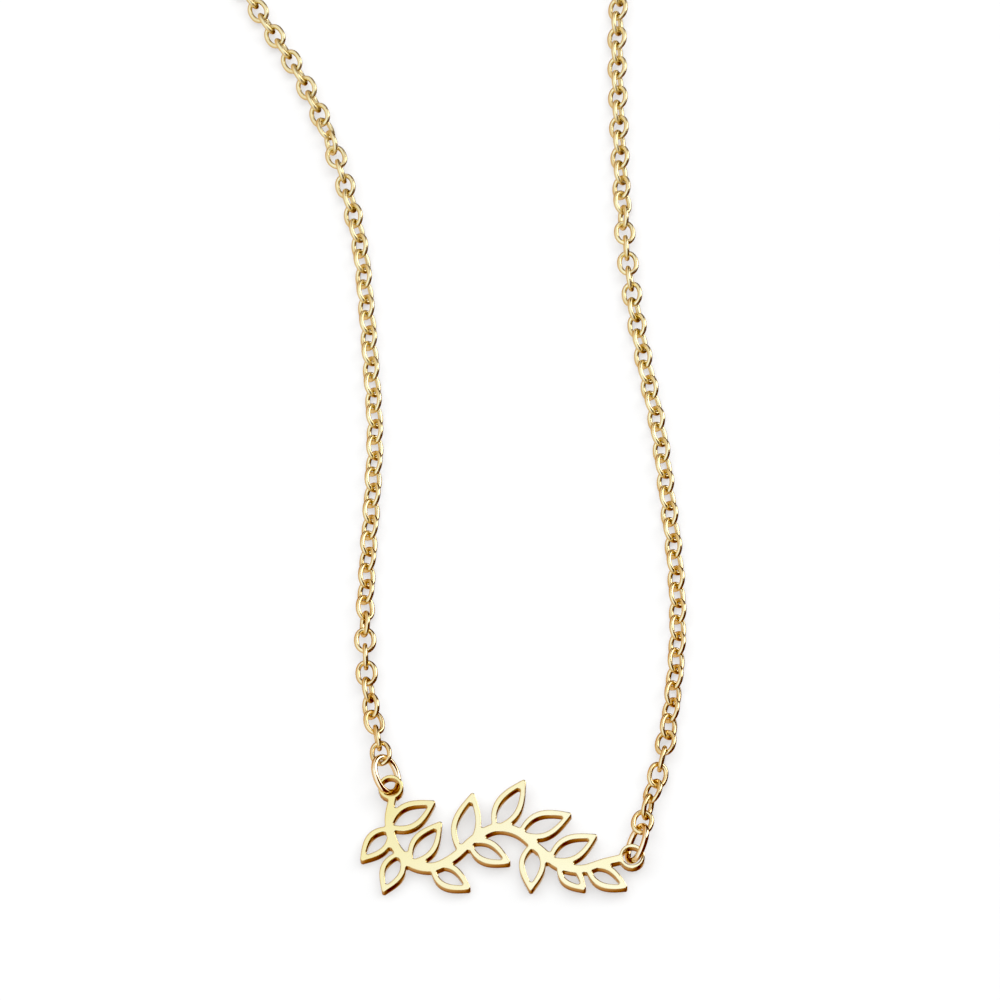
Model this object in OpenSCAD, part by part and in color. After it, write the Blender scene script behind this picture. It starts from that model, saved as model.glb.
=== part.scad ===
// Nameplate necklace laid on a flat surface: a cut plate with a leafy scroll between two jump rings,
// and a cable chain that runs round to a clasp. Millimetres. +Z is up and the surface is z = 0.
// The origin is the middle of the opening for the neck, on the surface, and -Y points to the plate.

/* [Chain] */
// Outside length of a link
link_length = 2.88; // [2.8:0.02:3.1]
// Outside width of a link
link_width = 2.36; // [2.3:0.02:2.5]
// Thickness of the links' wire
link_wire = 0.43; // [0.36:0.01:0.45]
// Play between a link and the piece it hangs in
link_play = 0.12; // [0.1:0.01:0.16]

/* [Jump rings] */
// Outside length of a jump ring
jump_length = 4.4; // [4.3:0.1:4.8]
// Outside width of a jump ring
jump_width = 3.8; // [3.6:0.1:4]
// Thickness of the jump rings' wire
jump_wire = 0.6; // [0.5:0.02:0.62]

/* [Plate] */
// Length of the plate, end to end
plate_length = 29.3; // [28:0.1:31]
// Height of the plate
plate_height = 12.7; // [12:0.1:13.5]
// Thickness of the plate
plate_thick = 1; // [0.8:0.05:1.05]
// Full width of a stroke
stroke_width = 1; // [0.85:0.05:1.15]
// Radius in the corners where strokes meet
corner_radius = 0.2; // [0.1:0.05:0.25]
// Hole in each end ring
eye_hole = 1.9; // [1.86:0.02:2]
// Metal round that hole
eye_band = 0.36; // [0.3:0.02:0.4]
// Height of the right end ring's middle above the foot of the plate
right_eye_height = 3.75; // [3.5:0.05:4]
// Height of the plate's back above the surface, on the line between the end rings
plate_lift = 0.8; // [0.8:0.02:0.9]

/* [Clasp] */
// Length of the clasp's barrel
barrel_length = 3.6; // [3:0.1:4.5]
// Outside length of the clasp's hook loop
hook_length = 6; // [5.5:0.1:6.5]
// Outside width of the hook loop
hook_width = 4.4; // [4:0.1:4.8]
// Thickness of the hook loop's wire
hook_wire = 0.6; // [0.54:0.02:0.62]
// Thickness of the wire of the clasp's tail eye
tail_wire = 0.5; // [0.44:0.02:0.54]

/* [Hidden] */
$fn = 48;
plate_colour = [0.96, 0.90, 0.62];
ring_colour = [0.90, 0.74, 0.42];
chain_colour = [0.87, 0.74, 0.46];

// Chosen places: the lower left corner of the plate's outline, and the middle of the clasp's tail eye
plate_at = [-14.4, -89];
clasp_at = [-11, 83.2];

// Chosen points that each strand passes on its way from the jump ring to the clasp
left_route = [
    [-13.8, -66.2], [-14.2, -58.8], [-14, -51.3], [-13.6, -43.8], [-13.4, -36.4], [-13.9, -28.7],
    [-14.5, -21.3], [-15.3, -13.8], [-17, -6.4], [-19.3, 0.8], [-22.3, 7.6], [-26, 14],
    [-30, 20.8], [-34.3, 28], [-38.2, 36], [-40.5, 44.5], [-40.5, 53.5], [-38.3, 62],
    [-33.4, 70], [-27.4, 76.6], [-20.6, 81.2], [-15.8, 82.9]
];
right_route = [
    [16.9, -74], [18.1, -66.6], [18.7, -59], [18.5, -51.4], [17.8, -43.9], [17, -36.4],
    [15.7, -28.9], [14.5, -21.4], [13.7, -13.7], [13.3, -6.3], [13.1, 1.2], [13, 8.7],
    [13.2, 16.4], [14.4, 24], [17.5, 32.5], [20.7, 41], [22.6, 50], [22.4, 59],
    [19.8, 67.4], [14.7, 74.8], [8.4, 80.8], [3.6, 82.9]
];

// Twist of each strand. Columns: link number, roll in degrees of the links with an even number
left_roll = [
    [0, -14], [1, 2], [5, 86], [7, 92], [9, 127], [10, 135], [32, 135], [36, 156], [38, 180], [41, 243],
    [54, 243], [60, 225]
];
right_roll = [
    [0, 4], [4, -88], [6, -135], [28, -135], [32, -122], [35, -92], [37, -88], [40, -38], [44, -26]
];
// How far the first links of a strand stand above the rest. Columns: link number, millimetres
first_rise = [[0, 0.52], [1, 0.26], [2, 0.06], [3, 0]];

// How each jump ring lies, in degrees: its direction from plate to chain, its roll, its rise that way,
// and in millimetres how far to the left of its middle line the first link hangs
left_jump = [109, 52, 15, -0.2];
right_jump = [70, -60, 15, 0.24];
// Gap between a jump ring's wire and the far side of the end ring's hole
jump_play = 0.3;

// The scroll is a wavy vine with open leaves on both sides. Columns of the vine: x and y as shares
// of the plate's length and height, width as a share of the full stroke
vine = [
    [0.112, 0.800, 0.75], [0.100, 0.620, 0.85], [0.118, 0.420, 0.95], [0.175, 0.260, 1.00],
    [0.255, 0.215, 0.95], [0.330, 0.300, 0.90], [0.400, 0.450, 0.90], [0.475, 0.545, 0.90],
    [0.555, 0.510, 0.90], [0.625, 0.370, 0.90], [0.695, 0.235, 0.90], [0.775, 0.190, 0.85],
    [0.855, 0.245, 0.80], [0.925, 0.285, 0.75]
];
// Columns of the leaves: base x and y, tip x and y, half width as a share of the leaf's length,
// width of its edge
leaves = [
    [0.103, 0.540, 0.009, 0.290, 0.24, 0.60], [0.140, 0.330, 0.085, 0.027, 0.24, 0.60],
    [0.105, 0.560, 0.255, 0.760, 0.23, 0.62], [0.180, 0.260, 0.280, 0.580, 0.22, 0.60],
    [0.255, 0.215, 0.380, 0.040, 0.24, 0.58], [0.355, 0.350, 0.395, 0.820, 0.20, 0.62],
    [0.385, 0.420, 0.520, 0.255, 0.22, 0.58], [0.475, 0.545, 0.575, 0.930, 0.20, 0.62],
    [0.565, 0.500, 0.735, 0.650, 0.22, 0.60], [0.610, 0.400, 0.600, 0.030, 0.23, 0.60],
    [0.670, 0.280, 0.825, 0.465, 0.22, 0.60], [0.700, 0.230, 0.785, 0.030, 0.24, 0.56],
    [0.800, 0.200, 0.930, 0.040, 0.22, 0.56]
];
stroke_steps = 5;
leaf_steps = 14;
// A leaf is fullest nearer its base, and its edge is thinner at both ends
leaf_skew = 0.85;
leaf_end_width = 0.8;

function xy(v) = [v.x, v.y];
function unit(v) = v / norm(v);

// Smooth curve through points with any number of columns
function curve_at(p, i, t) =
    let (a = p[max(i - 1, 0)], b = p[i], c = p[i + 1], d = p[min(i + 2, len(p) - 1)])
    (2 * b + (c - a) * t + (2 * a - 5 * b + 4 * c - d) * t * t + (3 * b - a - 3 * c + d) * t * t * t) / 2;
function smooth(p, steps) =
    [for (i = [0 : len(p) - 2]) for (k = [0 : steps - 1]) curve_at(p, i, k / steps), p[len(p) - 1]];

// End rings of the plate, in the plate's own outline
eye_outer = eye_hole + 2 * eye_band;
left_eye = [0.106 * plate_length, plate_height - eye_outer / 2];
right_eye = [plate_length - eye_outer / 2, right_eye_height];
eye_line = unit(right_eye - left_eye);
eye_turn = atan2(eye_line.y, eye_line.x);
eye_z = plate_lift + plate_thick / 2;

function on_plate(row) = [row.x * plate_length, row.y * plate_height, row.z * stroke_width];

// One side of an open leaf, as a band with columns x, y, width
function leaf_edge(row, side) =
    let (base = xy(on_plate([row[0], row[1], 0])), tip = xy(on_plate([row[2], row[3], 0])),
         out = side * row[4] * [base.y - tip.y, tip.x - base.x])
    [for (k = [0 : leaf_steps])
        let (t = k / leaf_steps, swell = sin(180 * pow(t, leaf_skew)),
             edge = row[5] * stroke_width * (leaf_end_width + (1 - leaf_end_width) * swell))
        concat(base + (tip - base) * t + out * swell, edge)];
leaf_edges = [for (row = leaves) for (side = [-1, 1]) leaf_edge(row, side)];
vine_band = [for (row = smooth(vine, stroke_steps)) on_plate(row)];

// The plate leans on its lowest stroke, so its tilt follows from that stroke's distance to the eye line
function below_line(p) = (left_eye - xy(p)) * [-eye_line.y, eye_line.x] + p.z / 2;
plate_reach = max([for (band = concat([vine_band], leaf_edges)) for (p = band) below_line(p)]);
plate_tilt = asin(plate_lift / plate_reach);

// Jump rings: each stands on the surface and passes through the middle of its end ring
function jump_height(lie) =
    (jump_length - jump_width) / 2 * sin(lie[2])
    + (jump_width - jump_wire) / 2 * norm([sin(lie[2]), cos(lie[2]) * sin(lie[1])]) + jump_wire / 2;
function jump_centre(eye, lie) =
    let (seat = (eye_hole - jump_wire) / 2 - jump_play,
         out = (jump_length - jump_wire) / 2 * cos(lie[2]) - seat)
    concat(plate_at + eye + out * [cos(lie[0]), sin(lie[0])], jump_height(lie));

// Chain: each link has its lower side at the surface or above it, and heights change slowly
surface_gap = 0.01;
link_pitch = link_length - 2 * link_wire - link_play;
function own_roll(i, roll_table) = lookup(i, roll_table) + 90 * (i % 2);
function rest_height(roll) = (link_width - link_wire) / 2 * abs(sin(roll)) + link_wire / 2 + surface_gap;
function highest_near(i, roll_table) =
    max([for (j = [max(i - 1, 0) : i + 1]) rest_height(own_roll(j, roll_table))]);
function strand_height(i, roll_table) =
    (highest_near(max(i - 1, 0), roll_table) + highest_near(i, roll_table)
    + highest_near(i + 1, roll_table)) / 3;
function first_link(eye, lie) =
    let (jump_end = (jump_length - jump_wire) / 2,
         hang = (link_length - link_wire) / 2 - (jump_wire + link_wire) / 2 - link_play)
    xy(jump_centre(eye, lie)) + (jump_end * cos(lie[2]) + hang) * [cos(lie[0]), sin(lie[0])]
    + lie[3] * [-sin(lie[0]), cos(lie[0])];

// Clasp: a tail eye, a barrel and a hook loop in one line along +X
barrel_radius = (link_width - tail_wire) / 2 * sin(45) + tail_wire / 2;
tail_gap = link_length - link_wire - tail_wire - link_play;
barrel_start = link_length / 2 - tail_wire - link_wire / 2;
hook_middle = barrel_start + barrel_length + hook_length / 2 - hook_wire;
hook_play = 0.3;
hook_gap = (hook_length + link_length) / 2 - hook_wire - link_wire - hook_play;

left_points = concat([first_link(left_eye, left_jump)], left_route, [clasp_at - [tail_gap, 0]]);
right_points = concat([first_link(right_eye, right_jump)], right_route,
    [clasp_at + [hook_middle + hook_gap, 0]]);

// Travelled length along a sampled route, and the link centres at even steps of it
route_steps = 8;
function travelled(p) = [for (i = 0, s = 0; i < len(p); i = i + 1,
    s = i < len(p) ? s + norm(p[i] - p[i - 1]) : s) s];
function link_centres(points, roll_table) =
    let (p = smooth(points, route_steps), s = travelled(p), total = s[len(s) - 1],
         count = ceil(total / link_pitch), step = total / count,
         xs = [for (i = [0 : len(p) - 1]) [s[i], p[i].x]],
         ys = [for (i = [0 : len(p) - 1]) [s[i], p[i].y]])
    [for (i = [0 : count]) [lookup(i * step, xs), lookup(i * step, ys),
        strand_height(i, roll_table) + lookup(i, first_rise)]];

// Wire bent to an oval: two half rings and two straights
module oval_ring(length, width, wire) {
    radius = (width - wire) / 2;
    straight = length - width;
    for (turn = [0, 180]) rotate([0, 0, turn]) {
        translate([straight / 2, 0, 0])
            rotate([0, 0, -90]) rotate_extrude(angle = 180) translate([radius, 0]) circle(d = wire);
        translate([-straight / 2, radius, 0]) rotate([0, 90, 0]) cylinder(d = wire, h = straight);
    }
}

module chain(points, roll_table) {
    c = link_centres(points, roll_table);
    for (i = [0 : len(c) - 1]) {
        way = c[min(i + 1, len(c) - 1)] - c[max(i - 1, 0)];
        rise = atan2(way.z, norm(xy(way)));
        translate(c[i]) rotate([own_roll(i, roll_table), -rise, atan2(way.y, way.x)])
            oval_ring(link_length, link_width, link_wire);
    }
}

module jump_ring(eye, lie) {
    translate(jump_centre(eye, lie)) rotate([lie[1], -lie[2], lie[0]])
        oval_ring(jump_length, jump_width, jump_wire);
}

// A band along points with columns x, y, width, with round ends
module ribbon(p) {
    last = len(p) - 1;
    side = [for (i = [0 : last])
        let (t = unit(xy(p[min(i + 1, last)]) - xy(p[max(i - 1, 0)]))) [-t.y, t.x] * p[i].z / 2];
    for (i = [0 : last - 1])
        polygon([xy(p[i]) - side[i], xy(p[i + 1]) - side[i + 1],
            xy(p[i + 1]) + side[i + 1], xy(p[i]) + side[i]]);
    for (e = [p[0], p[last]]) translate(xy(e)) circle(d = e.z, $fn = 20);
}

module scroll() {
    offset(r = -corner_radius, $fn = 20) offset(delta = corner_radius) {
        for (band = concat([vine_band], leaf_edges)) ribbon(band);
        for (eye = [left_eye, right_eye]) translate(eye) circle(d = eye_outer);
    }
}

module nameplate() {
    color(plate_colour)
        translate(concat(plate_at + left_eye, eye_z))
        rotate([0, 0, eye_turn]) rotate([plate_tilt, 0, 0]) rotate([0, 0, -eye_turn])
        translate([-left_eye.x, -left_eye.y, -plate_thick / 2])
        difference() {
            linear_extrude(plate_thick) scroll();
            for (eye = [left_eye, right_eye])
                translate([eye.x, eye.y, -plate_thick]) cylinder(d = eye_hole, h = 3 * plate_thick);
        }
}

module jump_ring_left() color(ring_colour) jump_ring(left_eye, left_jump);

module jump_ring_right() color(ring_colour) jump_ring(right_eye, right_jump);

module chain_left() color(chain_colour) chain(left_points, left_roll);

module chain_right() color(chain_colour) chain(right_points, right_roll);

module clasp() {
    color(ring_colour) translate(concat(clasp_at, barrel_radius)) {
        rotate([-45, 0, 0]) oval_ring(link_length, link_width, tail_wire);
        translate([barrel_start, 0, 0]) rotate([0, 90, 0]) cylinder(r = barrel_radius, h = barrel_length);
        translate([hook_middle, 0, 0]) oval_ring(hook_length, hook_width, hook_wire);
    }
}

nameplate();
jump_ring_left();
jump_ring_right();
chain_left();
chain_right();
clasp();
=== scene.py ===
import math

import bmesh
import bpy
import numpy as np
from mathutils import Matrix, Vector


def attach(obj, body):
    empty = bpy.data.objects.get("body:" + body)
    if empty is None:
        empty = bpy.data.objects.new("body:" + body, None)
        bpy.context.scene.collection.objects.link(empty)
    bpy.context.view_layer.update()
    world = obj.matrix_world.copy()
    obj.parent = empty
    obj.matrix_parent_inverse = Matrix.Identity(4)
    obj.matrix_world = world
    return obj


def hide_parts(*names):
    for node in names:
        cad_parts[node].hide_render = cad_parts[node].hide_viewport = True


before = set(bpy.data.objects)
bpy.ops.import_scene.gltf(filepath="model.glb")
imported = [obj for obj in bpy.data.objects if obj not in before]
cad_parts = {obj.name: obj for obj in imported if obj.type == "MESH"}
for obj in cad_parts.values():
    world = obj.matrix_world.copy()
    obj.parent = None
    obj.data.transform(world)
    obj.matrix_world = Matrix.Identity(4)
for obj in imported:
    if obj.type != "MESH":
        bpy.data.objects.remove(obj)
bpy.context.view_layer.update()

MM = 0.001
scene = bpy.context.scene


def add_object(name, data):
    made = bpy.data.objects.new(name, data)
    scene.collection.objects.link(made)
    return made


# Camera: the necklace lies on the floor and is seen 25 degrees off straight down, with a long lens
LOOK_AT = Vector((0.0, -44.0, 0.0)) * MM
CAMERA_TILT = math.radians(25.0)
CAMERA_REACH = 533.3 * MM
CAMERA_LENS = 180.0
CAMERA_SENSOR = 36.0
NEAREST_SEEN = 0.01
FARTHEST_SEEN = 20.0
BLACK_LEVEL = 0.028

camera_data = bpy.data.cameras.new("camera")
camera_data.lens = CAMERA_LENS
camera_data.sensor_width = CAMERA_SENSOR
camera_data.clip_start = NEAREST_SEEN
camera_data.clip_end = FARTHEST_SEEN
camera = add_object("camera", camera_data)
toward_camera = Vector((0.0, -math.sin(CAMERA_TILT), math.cos(CAMERA_TILT)))
camera.location = LOOK_AT + CAMERA_REACH * toward_camera
camera.rotation_euler = (CAMERA_TILT, 0.0, 0.0)
scene.camera = camera
scene.view_settings.view_transform = "Standard"
scene.view_settings.use_curve_mapping = True
scene.view_settings.curve_mapping.black_level = (BLACK_LEVEL, BLACK_LEVEL, BLACK_LEVEL)

# Softboxes, in metres
LIT_MIDDLE = Vector((0.0, -0.03, 0.0))
# Two boxes stand in the window's place, so that the floor gets more of its light than the metal mirrors
WINDOW_PLACE = (0.69, 0.36, 0.35)
WINDOW_WIDTH = 0.42
WINDOW_HEIGHT = 1.1
WINDOW_SEEN_RADIANCE = 2.8
WINDOW_SPILL_RADIANCE = 4.2
CEILING_PLACE = (-0.1, 0.1, 1.3)
CEILING_SIZE = 2.4
CEILING_RADIANCE = 3.4
CEILING_TINT = (0.91, 0.96, 1.0)
WHITE = (1.0, 1.0, 1.0)


def softbox(name, place, width, height, radiance, tint, seen_in_metal):
    """A rectangular softbox that faces the necklace, as bright as radiance says."""
    data = bpy.data.lights.new(name, "AREA")
    data.shape = "RECTANGLE"
    data.size = width
    data.size_y = height
    data.color = tint
    data.energy = radiance * math.pi * width * height
    box = add_object(name, data)
    box.location = place
    box.rotation_euler = (Vector(place) - LIT_MIDDLE).to_track_quat("Z", "Y").to_euler()
    box.visible_glossy = seen_in_metal


softbox("window_softbox", WINDOW_PLACE, WINDOW_WIDTH, WINDOW_HEIGHT, WINDOW_SEEN_RADIANCE, WHITE, True)
softbox("window_spill", WINDOW_PLACE, WINDOW_WIDTH, WINDOW_HEIGHT, WINDOW_SPILL_RADIANCE, WHITE, False)
softbox("ceiling_fill", CEILING_PLACE, CEILING_SIZE, CEILING_SIZE, CEILING_RADIANCE, CEILING_TINT, False)


class Tree:
    """Short calls for adding and joining the nodes of one tree."""

    def __init__(self, tree):
        self.tree = tree

    def node(self, kind, **settings):
        made = self.tree.nodes.new(kind)
        for key, value in settings.items():
            setattr(made, key, value)
        return made

    def link(self, source, target):
        self.tree.links.new(source, target)

    def feed(self, value, socket):
        """Gives a socket its number, its colour, or the output that drives it."""
        if isinstance(value, (int, float, tuple)):
            socket.default_value = value
        else:
            self.link(value, socket)

    def math(self, operation, a, b=None, clamp=False):
        made = self.node("ShaderNodeMath", operation=operation, use_clamp=clamp)
        for socket, value in zip(made.inputs, (a, b)):
            if value is not None:
                self.feed(value, socket)
        return made.outputs[0]

    def axes(self, vector):
        """The X, Y and Z of a vector."""
        made = self.node("ShaderNodeSeparateXYZ")
        self.link(vector, made.inputs[0])
        return made.outputs["X"], made.outputs["Y"], made.outputs["Z"]

    def mix(self, share, a, b):
        """Colour a where share is 0, colour b where it is 1."""
        made = self.node("ShaderNodeMix", data_type="RGBA")
        for label, value in (("Factor", share), ("A", a), ("B", b)):
            self.feed(value, made.inputs[label])
        return made.outputs["Result"]

    def ramp(self, position, stops):
        """A tone by position: stops pair a position with a grey or a colour."""
        made = self.node("ShaderNodeValToRGB")
        band = made.color_ramp
        while len(band.elements) < len(stops):
            band.elements.new(0.5)
        for element, (place, tone) in zip(band.elements, stops):
            colour = (tone, tone, tone) if isinstance(tone, float) else tone
            element.position = place
            element.color = (*colour, 1.0)
        self.link(position, made.inputs[0])
        return made.outputs["Color"]

    def noise(self, vector, scale, detail=2.0, rough=0.5):
        made = self.node("ShaderNodeTexNoise")
        made.inputs["Detail"].default_value = detail
        made.inputs["Roughness"].default_value = rough
        self.feed(scale, made.inputs["Scale"])
        self.link(vector, made.inputs["Vector"])
        return made.outputs["Fac"]

    def remap(self, value, low, high, to_low, to_high):
        made = self.node("ShaderNodeMapRange")
        self.link(value, made.inputs["Value"])
        ends = {"From Min": low, "From Max": high, "To Min": to_low, "To Max": to_high}
        for label, number in ends.items():
            made.inputs[label].default_value = number
        return made.outputs["Result"]

    def attribute(self, name):
        return self.node("ShaderNodeAttribute", attribute_name=name).outputs["Fac"]


# What the polished metal mirrors
WORLD_STRENGTH = 1.67
# Ceiling: degrees that a direction leans to the right, brightness
CEILING_BY_LEAN = (
    (-88, 0.48), (-62, 0.64), (-30, 0.82), (-5, 0.88), (-1, 0.95), (1, 1.00), (9, 0.93), (16, 0.20),
    (28, 0.03), (75, 0.05), (88, 0.12))
# Ceiling: how far a direction points up the table, from 0 to 1, brightness
CEILING_BY_DEPTH = (
    (0.0, 1.0), (0.60, 1.0), (0.618, 0.97), (0.634, 0.90), (0.70, 0.80), (0.85, 0.72), (1.0, 0.66))
# Dusk underneath: how far a direction points to the right and up the table, from 0 to 1, brightness
DUSK_TURN = 0.6
DUSK_BY_SIDE = (
    (0.20, 0.50), (0.30, 0.44), (0.40, 0.34), (0.50, 0.20), (0.62, 0.05), (0.67, 0.08), (0.715, 0.30),
    (0.76, 0.08), (0.82, 0.03), (1.00, 0.03))
# Skim: how far a direction runs straight on from the camera, brightness
SKIM_BY_AHEAD = ((0.88, 0.0), (0.95, 0.42), (0.985, 0.72), (1.0, 0.8))
HORIZON_SHARPNESS = 6.0
# Brightness, colour: warm in the dark and cool in the light
TONES = (
    (0.00, (0.022, 0.011, 0.007)), (0.10, (0.090, 0.031, 0.012)), (0.25, (0.232, 0.104, 0.040)),
    (0.42, (0.39, 0.243, 0.122)), (0.52, (0.455, 0.378, 0.295)), (0.65, (0.50, 0.51, 0.53)),
    (0.80, (0.58, 0.65, 0.78)), (1.00, (0.70, 0.81, 1.00)))


def make_studio_world():
    """A pale ceiling above and at the left, a dark gap beside the window softbox, and underneath the
    warm dusk between the pieces, darkest at the right."""
    world = bpy.data.worlds.new("studio")
    world.use_nodes = True
    world.cycles_visibility.diffuse = False
    t = Tree(world.node_tree)
    background = world.node_tree.nodes["Background"]
    background.inputs["Strength"].default_value = WORLD_STRENGTH
    direction = t.node("ShaderNodeTexCoord").outputs["Generated"]
    x, y, z = t.axes(direction)

    def from_zero_to_one(value):
        return t.math("ADD", t.math("MULTIPLY", value, 0.5), 0.5)

    lean = t.math("ADD", t.math("DIVIDE", t.math("ARCTAN2", x, z), math.pi), 0.5)
    by_lean = t.ramp(lean, [((degrees + 90.0) / 180.0, tone) for degrees, tone in CEILING_BY_LEAN])
    above = t.math("MULTIPLY", by_lean, t.ramp(from_zero_to_one(y), CEILING_BY_DEPTH))
    dusk = t.ramp(from_zero_to_one(t.math("ADD", x, t.math("MULTIPLY", y, DUSK_TURN))), DUSK_BY_SIDE)
    ahead = t.node("ShaderNodeVectorMath", operation="DOT_PRODUCT")
    ahead.inputs[1].default_value = -toward_camera
    t.link(direction, ahead.inputs[0])
    below = t.math("MAXIMUM", dusk, t.ramp(ahead.outputs["Value"], SKIM_BY_AHEAD))
    horizon = t.math("ADD", t.math("MULTIPLY", z, HORIZON_SHARPNESS), 0.5, clamp=True)
    t.link(t.ramp(t.mix(horizon, below, above), TONES), background.inputs["Color"])
    return world


scene.world = make_studio_world()

# Floor, in metres
FLOOR_HALF = 3.0
floor_mesh = bpy.data.meshes.new("floor")
floor_mesh.from_pydata(
    [(-FLOOR_HALF, -FLOOR_HALF, 0), (FLOOR_HALF, -FLOOR_HALF, 0), (FLOOR_HALF, FLOOR_HALF, 0),
     (-FLOOR_HALF, FLOOR_HALF, 0)], [], [(0, 1, 2, 3)])
floor = add_object("floor", floor_mesh)
floor.visible_glossy = False


# Shader groups that all golds use
def group(name, inputs, outputs):
    """An empty shader group: inputs as (name, kind, default), outputs as (name, kind)."""
    tree = bpy.data.node_groups.new(name, "ShaderNodeTree")
    for label, kind, default in inputs:
        socket = tree.interface.new_socket(name=label, in_out="INPUT", socket_type=kind)
        if default is not None:
            socket.default_value = default
    for label, kind in outputs:
        tree.interface.new_socket(name=label, in_out="OUTPUT", socket_type=kind)
    return tree, Tree(tree), tree.nodes.new("NodeGroupInput"), tree.nodes.new("NodeGroupOutput")


WHEEL_ANGLE = math.radians(35)
HAIRLINE_STRETCH = 0.08
SMEARS_PER_WAVE = 1.7
# Most of a noise lies between the low and the high value
NOISE_LOW = 0.3
NOISE_HIGH = 0.7
SMEAR_LOW = 0.35
MOST_DRIFT = 0.6


def make_polish_group():
    """Hairlines left by the polishing wheel, and the slow waves of a surface polished by hand."""
    tree, t, given, out = group(
        "polish",
        [("Vector", "NodeSocketVector", None), ("Wave Scale", "NodeSocketFloat", 250.0),
         ("Hairline Scale", "NodeSocketFloat", 3000.0), ("Base Roughness", "NodeSocketFloat", 0.1),
         ("Roughness Spread", "NodeSocketFloat", 0.08)],
        [("Roughness", "NodeSocketFloat"), ("Waves", "NodeSocketFloat"), ("Hairlines", "NodeSocketFloat")])
    vector = given.outputs["Vector"]
    wave_scale = given.outputs["Wave Scale"]
    stretch = t.node("ShaderNodeMapping")
    stretch.inputs["Scale"].default_value = (1.0, HAIRLINE_STRETCH, 1.0)
    stretch.inputs["Rotation"].default_value = (0.0, 0.0, WHEEL_ANGLE)
    t.link(vector, stretch.inputs["Vector"])
    waves = t.noise(vector, wave_scale, detail=1.0)
    hairlines = t.noise(stretch.outputs["Vector"], given.outputs["Hairline Scale"], detail=3.0, rough=0.6)
    smears = t.noise(vector, t.math("MULTIPLY", wave_scale, SMEARS_PER_WAVE), detail=4.0, rough=0.6)
    smeared = t.remap(smears, SMEAR_LOW, NOISE_HIGH, 0.0, 1.0)
    spread = t.math("MULTIPLY", smeared, given.outputs["Roughness Spread"])
    t.link(t.math("ADD", given.outputs["Base Roughness"], spread), out.inputs["Roughness"])
    t.link(waves, out.inputs["Waves"])
    t.link(hairlines, out.inputs["Hairlines"])
    return tree


def make_tone_group():
    """Plating colour that drifts slowly over the metal and from piece to piece."""
    tree, t, given, out = group(
        "plating_tone",
        [("Vector", "NodeSocketVector", None), ("Light Tone", "NodeSocketColor", (1.0, 0.85, 0.5, 1.0)),
         ("Deep Tone", "NodeSocketColor", (0.9, 0.7, 0.35, 1.0)), ("Drift Scale", "NodeSocketFloat", 120.0),
         ("Piece Shift", "NodeSocketFloat", 0.0)],
        [("Color", "NodeSocketColor")])
    drift = t.noise(given.outputs["Vector"], given.outputs["Drift Scale"])
    drifted = t.remap(drift, NOISE_LOW, NOISE_HIGH, 0.0, MOST_DRIFT)
    share = t.math("ADD", drifted, given.outputs["Piece Shift"], clamp=True)
    t.link(t.mix(share, given.outputs["Light Tone"], given.outputs["Deep Tone"]), out.inputs["Color"])
    return tree


polish_group = make_polish_group()
tone_group = make_tone_group()


def place_group(t, tree, **values):
    made = t.node("ShaderNodeGroup", node_tree=tree)
    for label, value in values.items():
        t.feed(value, made.inputs[label.replace("_", " ")])
    return made


def new_material(name):
    material = bpy.data.materials.new(name)
    material.use_nodes = True
    t = Tree(material.node_tree)
    shader = material.node_tree.nodes["Principled BSDF"]
    place = t.node("ShaderNodeTexCoord").outputs["Object"]
    return material, t, shader, place


EDGE_SAMPLES = 8


def plating(t, shader, place, light, deep, shift, roughness, spread, wave_scale, wave_height, hair_height,
            rolled_edge=0.0):
    """Gold plating with its smears, waves and hairlines on the shader; gives back its colour.
    Heights are millimetres, and rolled_edge is how far a sheet's edges are softened by polishing."""
    shader.inputs["Metallic"].default_value = 1.0
    tone = place_group(t, tone_group, Vector=place, Light_Tone=light, Deep_Tone=deep, Piece_Shift=shift)
    polish = place_group(t, polish_group, Vector=place, Wave_Scale=wave_scale, Base_Roughness=roughness,
                         Roughness_Spread=spread)
    t.link(polish.outputs["Roughness"], shader.inputs["Roughness"])
    bump = t.node("ShaderNodeBump")
    bump.inputs["Distance"].default_value = MM
    t.link(t.math("ADD", t.math("MULTIPLY", polish.outputs["Waves"], wave_height),
                  t.math("MULTIPLY", polish.outputs["Hairlines"], hair_height)), bump.inputs["Height"])
    if rolled_edge:
        edge = t.node("ShaderNodeBevel", samples=EDGE_SAMPLES)
        edge.inputs["Radius"].default_value = rolled_edge
        t.link(edge.outputs["Normal"], bump.inputs["Normal"])
    t.link(bump.outputs["Normal"], shader.inputs["Normal"])
    return tone.outputs["Color"]


# Colours of the golds
CHAIN_LIGHT = (0.955, 0.785, 0.435, 1.0)
CHAIN_DEEP = (0.905, 0.705, 0.365, 1.0)
# Painted sheen: the pale gold that the far links are lightened toward
CHAIN_PALE_SHEEN = (1.00, 0.88, 0.51, 1.0)
RING_LIGHT = (1.00, 0.84, 0.56, 1.0)
RING_DEEP = (0.98, 0.76, 0.46, 1.0)
PLATE_LIGHT = (0.93, 0.785, 0.465, 1.0)
PLATE_DEEP = (0.875, 0.695, 0.295, 1.0)
# Painted shade with the cut finish: the darker gold that the plate's walls are mixed toward
PLATE_WALL_FINISH_AND_SHADE = (0.62, 0.465, 0.265, 1.0)

# Where along Y the links get duller and paler, and how much; the paler colour is painted sheen that
# lightens the far links as if their highlights were spread
CHAIN_DULL_FROM = -60 * MM
CHAIN_DULL_TO = 10 * MM
CHAIN_SMOOTHEST = 0.17
CHAIN_ROUGHEST = 0.34
CHAIN_PALE_FROM = -64 * MM
CHAIN_PALE_TO = -34 * MM
CHAIN_PALEST = 0.85

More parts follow.
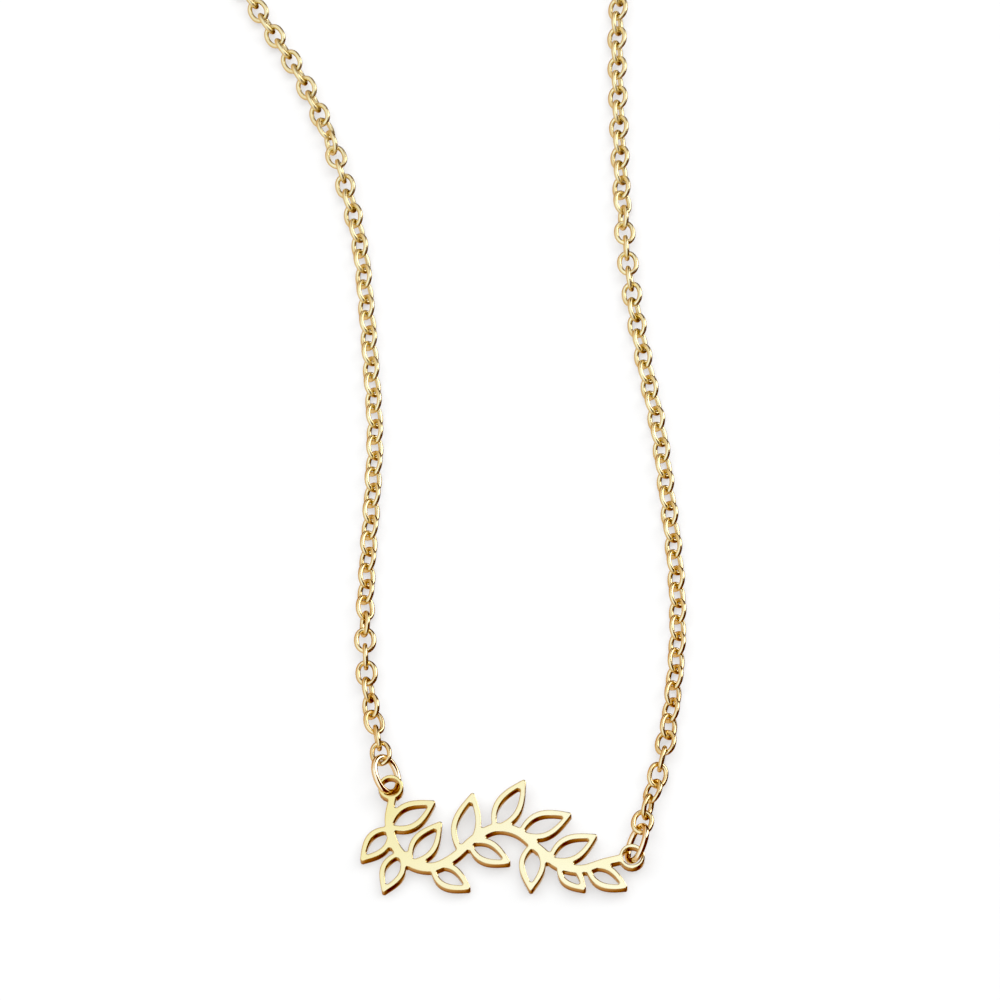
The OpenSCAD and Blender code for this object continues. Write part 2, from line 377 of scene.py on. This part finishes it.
# Where the plate's gold gets deeper toward its upper left as a painted reflection gradient, how much, and
# what polishing does to its edges
PLATE_SLANT = 0.7
PLATE_REFLECTION_FROM = -84 * MM
PLATE_REFLECTION_TO = -67 * MM
PLATE_REFLECTION_LEAST = -0.25
PLATE_REFLECTION_MOST = 0.85
# How much the walls take their darker colour, partly their own cut finish and partly painted shade for the
# dim floor they mirror
PLATE_WALL_FINISH_AND_SHADE_SHARE = 0.75
PLATE_ROLLED_EDGE = 0.16 * MM

# Floor paper
PAPER_DARK = (0.262, 0.250, 0.241, 1.0)
PAPER_LIGHT = (0.268, 0.256, 0.246, 1.0)
PAPER_FIBRE_SCALE = 900.0
PAPER_SMOOTHEST = 0.88
PAPER_ROUGHEST = 0.94
PAPER_GLOW = 0.53


def make_chain_gold():
    """Gold of the links. Far from the plate they are duller, and paler from painted sheen."""
    material, t, shader, place = new_material("chain_gold")
    _, y, _ = t.axes(place)
    roughness = t.remap(y, CHAIN_DULL_FROM, CHAIN_DULL_TO, CHAIN_SMOOTHEST, CHAIN_ROUGHEST)
    # Painted sheen: the share of pale gold grows with distance from the plate
    pale_sheen = t.remap(y, CHAIN_PALE_FROM, CHAIN_PALE_TO, 0.0, CHAIN_PALEST)
    colour = plating(t, shader, place, CHAIN_LIGHT, CHAIN_DEEP, t.attribute("piece_shift"), roughness,
                     spread=0.10, wave_scale=900.0, wave_height=0.0025, hair_height=0.0003)
    t.link(t.mix(pale_sheen, colour, CHAIN_PALE_SHEEN), shader.inputs["Base Color"])
    return material


def make_ring_gold():
    """Gold of the jump rings and the clasp."""
    material, t, shader, place = new_material("ring_gold")
    colour = plating(t, shader, place, RING_LIGHT, RING_DEEP, shift=0.0, roughness=0.08, spread=0.08,
                     wave_scale=500.0, wave_height=0.004, hair_height=0.0004)
    t.link(colour, shader.inputs["Base Color"])
    return material


def make_plate_gold():
    """Gold of the plate: deeper toward its upper left as a painted reflection gradient, and darker on the
    cut walls, partly from their own duller cut finish and partly from painted shade.
    """
    material, t, shader, place = new_material("plate_gold")
    x, y, _ = t.axes(place)
    toward_corner = t.math("SUBTRACT", y, t.math("MULTIPLY", x, PLATE_SLANT))
    # Painted reflection: the deep tone's share grows toward the upper left, standing in for how the plate
    # mirrors the studio there
    shift = t.remap(toward_corner, PLATE_REFLECTION_FROM, PLATE_REFLECTION_TO, PLATE_REFLECTION_LEAST, PLATE_REFLECTION_MOST)
    colour = plating(t, shader, place, PLATE_LIGHT, PLATE_DEEP, shift, roughness=0.07, spread=0.05,
                     wave_scale=180.0, wave_height=0.030, hair_height=0.0003,
                     rolled_edge=PLATE_ROLLED_EDGE)
    # The walls' darker colour is partly their own duller cut finish and partly painted shade for the dim
    # floor they mirror
    cut = t.math("MULTIPLY", t.attribute("cut_wall"), PLATE_WALL_FINISH_AND_SHADE_SHARE)
    t.link(t.mix(cut, colour, PLATE_WALL_FINISH_AND_SHADE), shader.inputs["Base Color"])
    return material


def make_floor_paper():
    """Thin paper on a light table: about half of its light comes from below, so shadows stay pale."""
    material, t, shader, place = new_material("floor_paper")
    fibres = t.noise(place, PAPER_FIBRE_SCALE, detail=4.0, rough=0.6)
    t.link(t.mix(fibres, PAPER_DARK, PAPER_LIGHT), shader.inputs["Base Color"])
    roughness = t.remap(fibres, NOISE_LOW, NOISE_HIGH, PAPER_SMOOTHEST, PAPER_ROUGHEST)
    t.link(roughness, shader.inputs["Roughness"])
    shader.inputs["Emission Color"].default_value = (*WHITE, 1.0)
    shader.inputs["Emission Strength"].default_value = PAPER_GLOW
    return material


chain_gold = make_chain_gold()
ring_gold = make_ring_gold()
plate_gold = make_plate_gold()
floor.data.materials.append(make_floor_paper())

# Where the pieces of wire lie: each has a middle and three axes, long, wide and thin
CAD_MERGE = 0.002 * MM


def joined_vertices(start, seen):
    """The faces of the loose solid that holds a vertex; its vertices are added to seen."""
    seen.add(start.index)
    reach = [start]
    faces = set()
    while reach:
        for face in reach.pop().link_faces:
            faces.add(face)
            for other in face.verts:
                if other.index not in seen:
                    seen.add(other.index)
                    reach.append(other)
    return faces


def loose_solids(node):
    """Middle and axes of each loose solid of a node, from its surface."""
    bm = bmesh.new()
    bm.from_mesh(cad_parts[node].data)
    bmesh.ops.remove_doubles(bm, verts=bm.verts, dist=CAD_MERGE)
    bmesh.ops.triangulate(bm, faces=bm.faces)
    bm.verts.index_update()
    seen = set()
    found = []
    for start in bm.verts:
        if start.index in seen:
            continue
        corners = np.array([[v.co[:] for v in face.verts] for face in joined_vertices(start, seen)])
        sides = np.cross(corners[:, 1] - corners[:, 0], corners[:, 2] - corners[:, 0])
        areas = np.linalg.norm(sides, axis=1) / 2
        centre = (corners.mean(1) * areas[:, None]).sum(0) / areas.sum()
        offsets = corners - centre
        total = offsets.sum(1)
        spread = (np.einsum("n,nki,nkj->ij", areas, offsets, offsets)
                  + np.einsum("n,ni,nj->ij", areas, total, total)) / 12
        _, axes = np.linalg.eigh(spread)
        found.append((centre, axes[:, 2], axes[:, 1], axes[:, 0]))
    bm.free()
    return found


def laid_flatter(place, degrees):
    """The same place with the ring turned about its long axis, so that it leans less."""
    centre, along, across, out = place
    turns = [Matrix.Rotation(math.radians(sign * degrees), 3, Vector(along)) for sign in (-1.0, 1.0)]
    turn = np.array(max(turns, key=lambda one: abs((one @ Vector(out)).z)))
    return centre, along, turn @ across, turn @ out


MOST_TONE_SHIFT = 0.4


def points_with_turns(name, places, seed):
    """A mesh of points, each with the turn of its piece and a shift of its tone."""
    mesh = bpy.data.meshes.new(name)
    mesh.from_pydata([place[0] for place in places], [], [])
    mesh.attributes.new("turn", "QUATERNION", "POINT")
    mesh.attributes.new("piece_shift", "FLOAT", "POINT")
    turn = mesh.attributes["turn"]
    shift = mesh.attributes["piece_shift"]
    random = np.random.default_rng(seed)
    for index, (_, along, _, out) in enumerate(places):
        matrix = Matrix((along, np.cross(out, along), out)).transposed()
        turn.data[index].value = matrix.to_quaternion()
        shift.data[index].value = float(random.uniform(0.0, MOST_TONE_SHIFT))
    return add_object(name, mesh)


# Wire loops by Geometry Nodes. An oval with a squareness of 1 is an ellipse, and one with less is fuller
SQUARENESS = 0.92


def make_wire_loop_tree():
    """Ovals of bent wire, one on each point, turned as the point says."""
    tree = bpy.data.node_groups.new("wire_loops", "GeometryNodeTree")
    sockets = tree.interface
    sockets.new_socket(name="Points", in_out="INPUT", socket_type="NodeSocketGeometry")
    for label, kind, default in (
            ("Length", "NodeSocketFloat", 2.8 * MM), ("Width", "NodeSocketFloat", 2.3 * MM),
            ("Wire", "NodeSocketFloat", 0.45 * MM), ("Wire Sides", "NodeSocketInt", 12),
            ("Path Steps", "NodeSocketInt", 28), ("Squareness", "NodeSocketFloat", SQUARENESS),
            ("Metal", "NodeSocketMaterial", None)):
        socket = sockets.new_socket(name=label, in_out="INPUT", socket_type=kind)
        if default is not None:
            socket.default_value = default
    sockets.new_socket(name="Loops", in_out="OUTPUT", socket_type="NodeSocketGeometry")
    t = Tree(tree)
    given = t.node("NodeGroupInput").outputs
    out = t.node("NodeGroupOutput")

    def bent(axis, reach):
        """One coordinate of the wire's oval path."""
        half = t.math("MULTIPLY", t.math("SUBTRACT", given[reach], given["Wire"]), 0.5)
        size = t.math("POWER", t.math("ABSOLUTE", axis), given["Squareness"])
        return t.math("MULTIPLY", t.math("MULTIPLY", size, t.math("SIGN", axis)), half)

    circle = t.node("GeometryNodeCurvePrimitiveCircle")
    circle.inputs["Radius"].default_value = 1.0
    t.link(given["Path Steps"], circle.inputs["Resolution"])
    x, y, _ = t.axes(t.node("GeometryNodeInputPosition").outputs[0])
    oval = t.node("ShaderNodeCombineXYZ")
    t.link(bent(x, "Length"), oval.inputs["X"])
    t.link(bent(y, "Width"), oval.inputs["Y"])
    path = t.node("GeometryNodeSetPosition")
    t.link(circle.outputs["Curve"], path.inputs["Geometry"])
    t.link(oval.outputs["Vector"], path.inputs["Position"])
    section = t.node("GeometryNodeCurvePrimitiveCircle")
    t.link(given["Wire Sides"], section.inputs["Resolution"])
    t.link(t.math("MULTIPLY", given["Wire"], 0.5), section.inputs["Radius"])
    sweep = t.node("GeometryNodeCurveToMesh")
    t.link(path.outputs["Geometry"], sweep.inputs["Curve"])
    t.link(section.outputs["Curve"], sweep.inputs["Profile Curve"])
    turn = t.node("GeometryNodeInputNamedAttribute", data_type="QUATERNION")
    turn.inputs["Name"].default_value = "turn"
    spread = t.node("GeometryNodeInstanceOnPoints")
    t.link(given["Points"], spread.inputs["Points"])
    t.link(sweep.outputs["Mesh"], spread.inputs["Instance"])
    t.link(turn.outputs["Attribute"], spread.inputs["Rotation"])
    solid = t.node("GeometryNodeRealizeInstances")
    t.link(spread.outputs["Instances"], solid.inputs["Geometry"])
    smooth = t.node("GeometryNodeSetShadeSmooth")
    t.link(solid.outputs["Geometry"], smooth.inputs["Geometry"])
    paint = t.node("GeometryNodeSetMaterial")
    t.link(smooth.outputs["Geometry"], paint.inputs["Geometry"])
    t.link(given["Metal"], paint.inputs["Material"])
    t.link(paint.outputs["Geometry"], out.inputs["Loops"])
    return tree


wire_loop_tree = make_wire_loop_tree()


def wire_loops(name, places, metal, length, width, wire, sides, steps, seed=1):
    """Bent wire loops at the given places, as one plain mesh."""
    carrier = points_with_turns(name + "_points", places, seed)
    modifier = carrier.modifiers.new("wire_loops", "NODES")
    modifier.node_group = wire_loop_tree
    values = {"Length": length, "Width": width, "Wire": wire, "Wire Sides": sides,
              "Path Steps": steps, "Squareness": SQUARENESS, "Metal": metal}
    for item in wire_loop_tree.interface.items_tree:
        if item.item_type == "SOCKET" and item.in_out == "INPUT" and item.name in values:
            modifier[item.identifier] = values[item.name]
    bpy.context.view_layer.update()
    depsgraph = bpy.context.evaluated_depsgraph_get()
    mesh = bpy.data.meshes.new_from_object(
        carrier.evaluated_get(depsgraph), preserve_all_data_layers=True, depsgraph=depsgraph)
    mesh.name = name
    mesh.polygons.foreach_set("material_index", [0] * len(mesh.polygons))
    mesh.materials.clear()
    mesh.materials.append(metal)
    carrier.modifiers.remove(modifier)
    bpy.data.objects.remove(carrier)
    return add_object(name, mesh)


# Chain. Its wire is thicker than in CAD, as it looks in the photograph
LINK_LENGTH = 2.97 * MM
LINK_WIDTH = 2.36 * MM
LINK_WIRE = 0.53 * MM
LINK_LIFT = 0.05 * MM
LINK_SIDES = 10
LINK_STEPS = 28
for side, seed in (("left", 11), ("right", 23)):
    node = "chain_" + side
    places = [(centre + (0, 0, LINK_LIFT), *axes) for centre, *axes in loose_solids(node)]
    strand = wire_loops(node + "_links", places, chain_gold,
                        LINK_LENGTH, LINK_WIDTH, LINK_WIRE, LINK_SIDES, LINK_STEPS, seed)
    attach(strand, "root")
    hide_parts(node)

# Jump rings. The left one lies 10 degrees flatter than in CAD
JUMP_LENGTH = 4.47 * MM
JUMP_WIDTH = 3.87 * MM
JUMP_WIRE = 0.67 * MM
JUMP_SIDES = 24
JUMP_STEPS = 80
for side, flatter in (("left", 10.0), ("right", 0.0)):
    node = "jump_ring_" + side
    places = [laid_flatter(place, flatter) for place in loose_solids(node)]
    ring = wire_loops(node + "_wire", places, ring_gold,
                      JUMP_LENGTH, JUMP_WIDTH, JUMP_WIRE, JUMP_SIDES, JUMP_STEPS)
    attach(ring, "root")
    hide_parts(node)

# Plate
PLATE_TOP_RIM = 0.08 * MM
PLATE_TOP_ROUNDS = 4
PLATE_BACK_RIM = 0.03 * MM
PLATE_BACK_ROUNDS = 2
PLATE_PROUD = 0.20 * MM
PLATE_FLARE = 0.05 * MM
PLATE_MERGE = 0.025 * MM
PLATE_FLAT_ANGLE = math.radians(0.3)
PLATE_CREASE = math.radians(50)
# How far a face's normal agrees with the plate's own, from 0 to 1: the most for a wall, the rest for flats
WALL_MOST = 0.1
FACE_LEAST = 0.7
TOP_LEAST = 0.99
FLAT_LEAST = 0.999


def polished_plate():
    """The cut plate with finely rounded rims; its walls carry the attribute cut_wall."""
    bm = bmesh.new()
    bm.from_mesh(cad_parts["nameplate"].data)
    bmesh.ops.remove_doubles(bm, verts=bm.verts, dist=PLATE_MERGE)
    bmesh.ops.dissolve_limit(bm, angle_limit=PLATE_FLAT_ANGLE, verts=bm.verts, edges=bm.edges)
    up = max(bm.faces, key=lambda face: face.calc_area()).normal.copy()
    up *= math.copysign(1.0, up.z)

    def agrees(face):
        return face.normal.dot(up)

    def is_wall(face):
        return abs(agrees(face)) < WALL_MOST

    moves = {}
    for vertex in bm.verts:
        if any(agrees(face) > TOP_LEAST for face in vertex.link_faces):
            moves[vertex] = up * PLATE_PROUD
        else:
            outward = sum((face.normal for face in vertex.link_faces if is_wall(face)), Vector())
            moves[vertex] = outward.normalized() * PLATE_FLARE
    for vertex, move in moves.items():
        vertex.co += move
    bm.normal_update()

    def bounds_side(edge, side):
        """Whether an edge lies between a wall and the flat face on that side."""
        faces = edge.link_faces
        return (len(faces) == 2
                and sorted(side * agrees(face) > FACE_LEAST for face in faces) == [False, True]
                and all(is_wall(face) or abs(agrees(face)) > FACE_LEAST for face in faces))

    for side, rim, rounds in ((1.0, PLATE_TOP_RIM, PLATE_TOP_ROUNDS),
                              (-1.0, PLATE_BACK_RIM, PLATE_BACK_ROUNDS)):
        rims = [edge for edge in bm.edges if bounds_side(edge, side)]
        bmesh.ops.bevel(bm, geom=rims, offset=rim, segments=rounds, profile=0.5, affect="EDGES",
                        clamp_overlap=False)
        bm.normal_update()
    bmesh.ops.recalc_face_normals(bm, faces=bm.faces)
    wall = bm.faces.layers.float.new("cut_wall")
    for face in bm.faces:
        face[wall] = 1.0 if is_wall(face) else 0.0
        face.smooth = True
    for edge in bm.edges:
        flat = [round(abs(agrees(face)), 3) > FLAT_LEAST for face in edge.link_faces]
        steep = edge.calc_face_angle(0.0) if len(edge.link_faces) == 2 else math.pi
        edge.smooth = steep < PLATE_CREASE and flat[0] == flat[1]
    mesh = bpy.data.meshes.new("nameplate_scroll")
    bm.to_mesh(mesh)
    bm.free()
    return add_object("nameplate_scroll", mesh)


plate = polished_plate()
plate.data.materials.append(plate_gold)
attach(plate, "root")
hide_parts("nameplate")

# Clasp: a tail eye, a barrel and a hook loop in one line along +X, from the middle of the eye
CLASP_AT = np.array((-11.0, 83.2, 0.908)) * MM
EYE_LENGTH = 2.88 * MM
EYE_WIDTH = 2.36 * MM
EYE_WIRE = 0.5 * MM
EYE_SIDES = 20
EYE_STEPS = 64
BARREL_START = 0.725 * MM
BARREL_LENGTH = 3.6 * MM
BARREL_RADIUS = 0.908 * MM
BARREL_SIDES = 48
BARREL_SHOULDER = 0.26 * MM
SHOULDER_STEPS = 7
BARREL_GROOVE = 0.05 * MM
# Groove: millimetres from the barrel's end, share of the full depth
GROOVE = ((0.52, 0.0), (0.56, 0.4), (0.60, 0.9), (0.64, 1.0), (0.68, 0.9), (0.72, 0.4), (0.76, 0.0))
HOOK_MIDDLE = 6.725 * MM
HOOK_LENGTH = 6.0 * MM
HOOK_WIDTH = 4.4 * MM
HOOK_WIRE = 0.6 * MM
HOOK_SIDES = 24
HOOK_STEPS = 96
CLASP_CREASE = math.radians(35)


def turned_barrel():
    """The clasp's barrel: round shoulders and a fine groove near each end."""
    half_profile = []
    for turn in np.linspace(0.0, math.pi / 2, SHOULDER_STEPS):
        half_profile.append((BARREL_SHOULDER * (1 - math.cos(turn)),
                             BARREL_RADIUS - BARREL_SHOULDER * (1 - math.sin(turn))))
    for step, depth in GROOVE:
        half_profile.append((step * MM, BARREL_RADIUS - depth * BARREL_GROOVE))
    far_half = [(BARREL_LENGTH - along, radius) for along, radius in reversed(half_profile)]
    bm = bmesh.new()
    rings = []
    for along, radius in half_profile + far_half:
        centre = CLASP_AT + (BARREL_START + along, 0, 0)
        rings.append([bm.verts.new(centre + np.array((0, math.cos(turn), math.sin(turn))) * radius)
                      for turn in np.linspace(0, 2 * math.pi, BARREL_SIDES, endpoint=False)])
    for ring, following in zip(rings, rings[1:]):
        for k in range(BARREL_SIDES):
            bm.faces.new((ring[k], ring[k - 1], following[k - 1], following[k]))
    for ring, along in ((rings[0], 0.0), (rings[-1], BARREL_LENGTH)):
        pole = bm.verts.new(CLASP_AT + (BARREL_START + along, 0, 0))
        for k in range(BARREL_SIDES):
            bm.faces.new((ring[k], ring[k - 1], pole))
    bmesh.ops.recalc_face_normals(bm, faces=bm.faces)
    mesh = bpy.data.meshes.new("clasp_barrel")
    bm.to_mesh(mesh)
    bm.free()
    return add_object("clasp_barrel", mesh)


def soldered_clasp():
    """Tail eye, barrel and hook loop joined into one closed piece."""
    slant = math.sqrt(0.5)
    eye_place = (CLASP_AT, (1, 0, 0), (0, slant, -slant), (0, slant, slant))
    hook_place = (CLASP_AT + (HOOK_MIDDLE, 0, 0), (1, 0, 0), (0, 1, 0), (0, 0, 1))
    eye = wire_loops("clasp_eye", [eye_place], ring_gold,
                     EYE_LENGTH, EYE_WIDTH, EYE_WIRE, EYE_SIDES, EYE_STEPS)
    hook = wire_loops("clasp_hook", [hook_place], ring_gold,
                      HOOK_LENGTH, HOOK_WIDTH, HOOK_WIRE, HOOK_SIDES, HOOK_STEPS)
    barrel = turned_barrel()
    for other in (eye, hook):
        union = barrel.modifiers.new("solder", "BOOLEAN")
        union.operation = "UNION"
        union.solver = "MANIFOLD"
        union.object = other
    bpy.context.view_layer.update()
    depsgraph = bpy.context.evaluated_depsgraph_get()
    mesh = bpy.data.meshes.new_from_object(barrel.evaluated_get(depsgraph), depsgraph=depsgraph)
    for part in (eye, hook, barrel):
        bpy.data.objects.remove(part)
    bm = bmesh.new()
    bm.from_mesh(mesh)
    for face in bm.faces:
        face.smooth = True
        face.material_index = 0
    for edge in bm.edges:
        edge.smooth = len(edge.link_faces) == 2 and edge.calc_face_angle(0.0) < CLASP_CREASE
    bm.to_mesh(mesh)
    bm.free()
    mesh.materials.clear()
    mesh.materials.append(ring_gold)
    return add_object("clasp_eye_barrel_hook", mesh)


clasp = soldered_clasp()
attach(clasp, "root")
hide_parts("clasp")
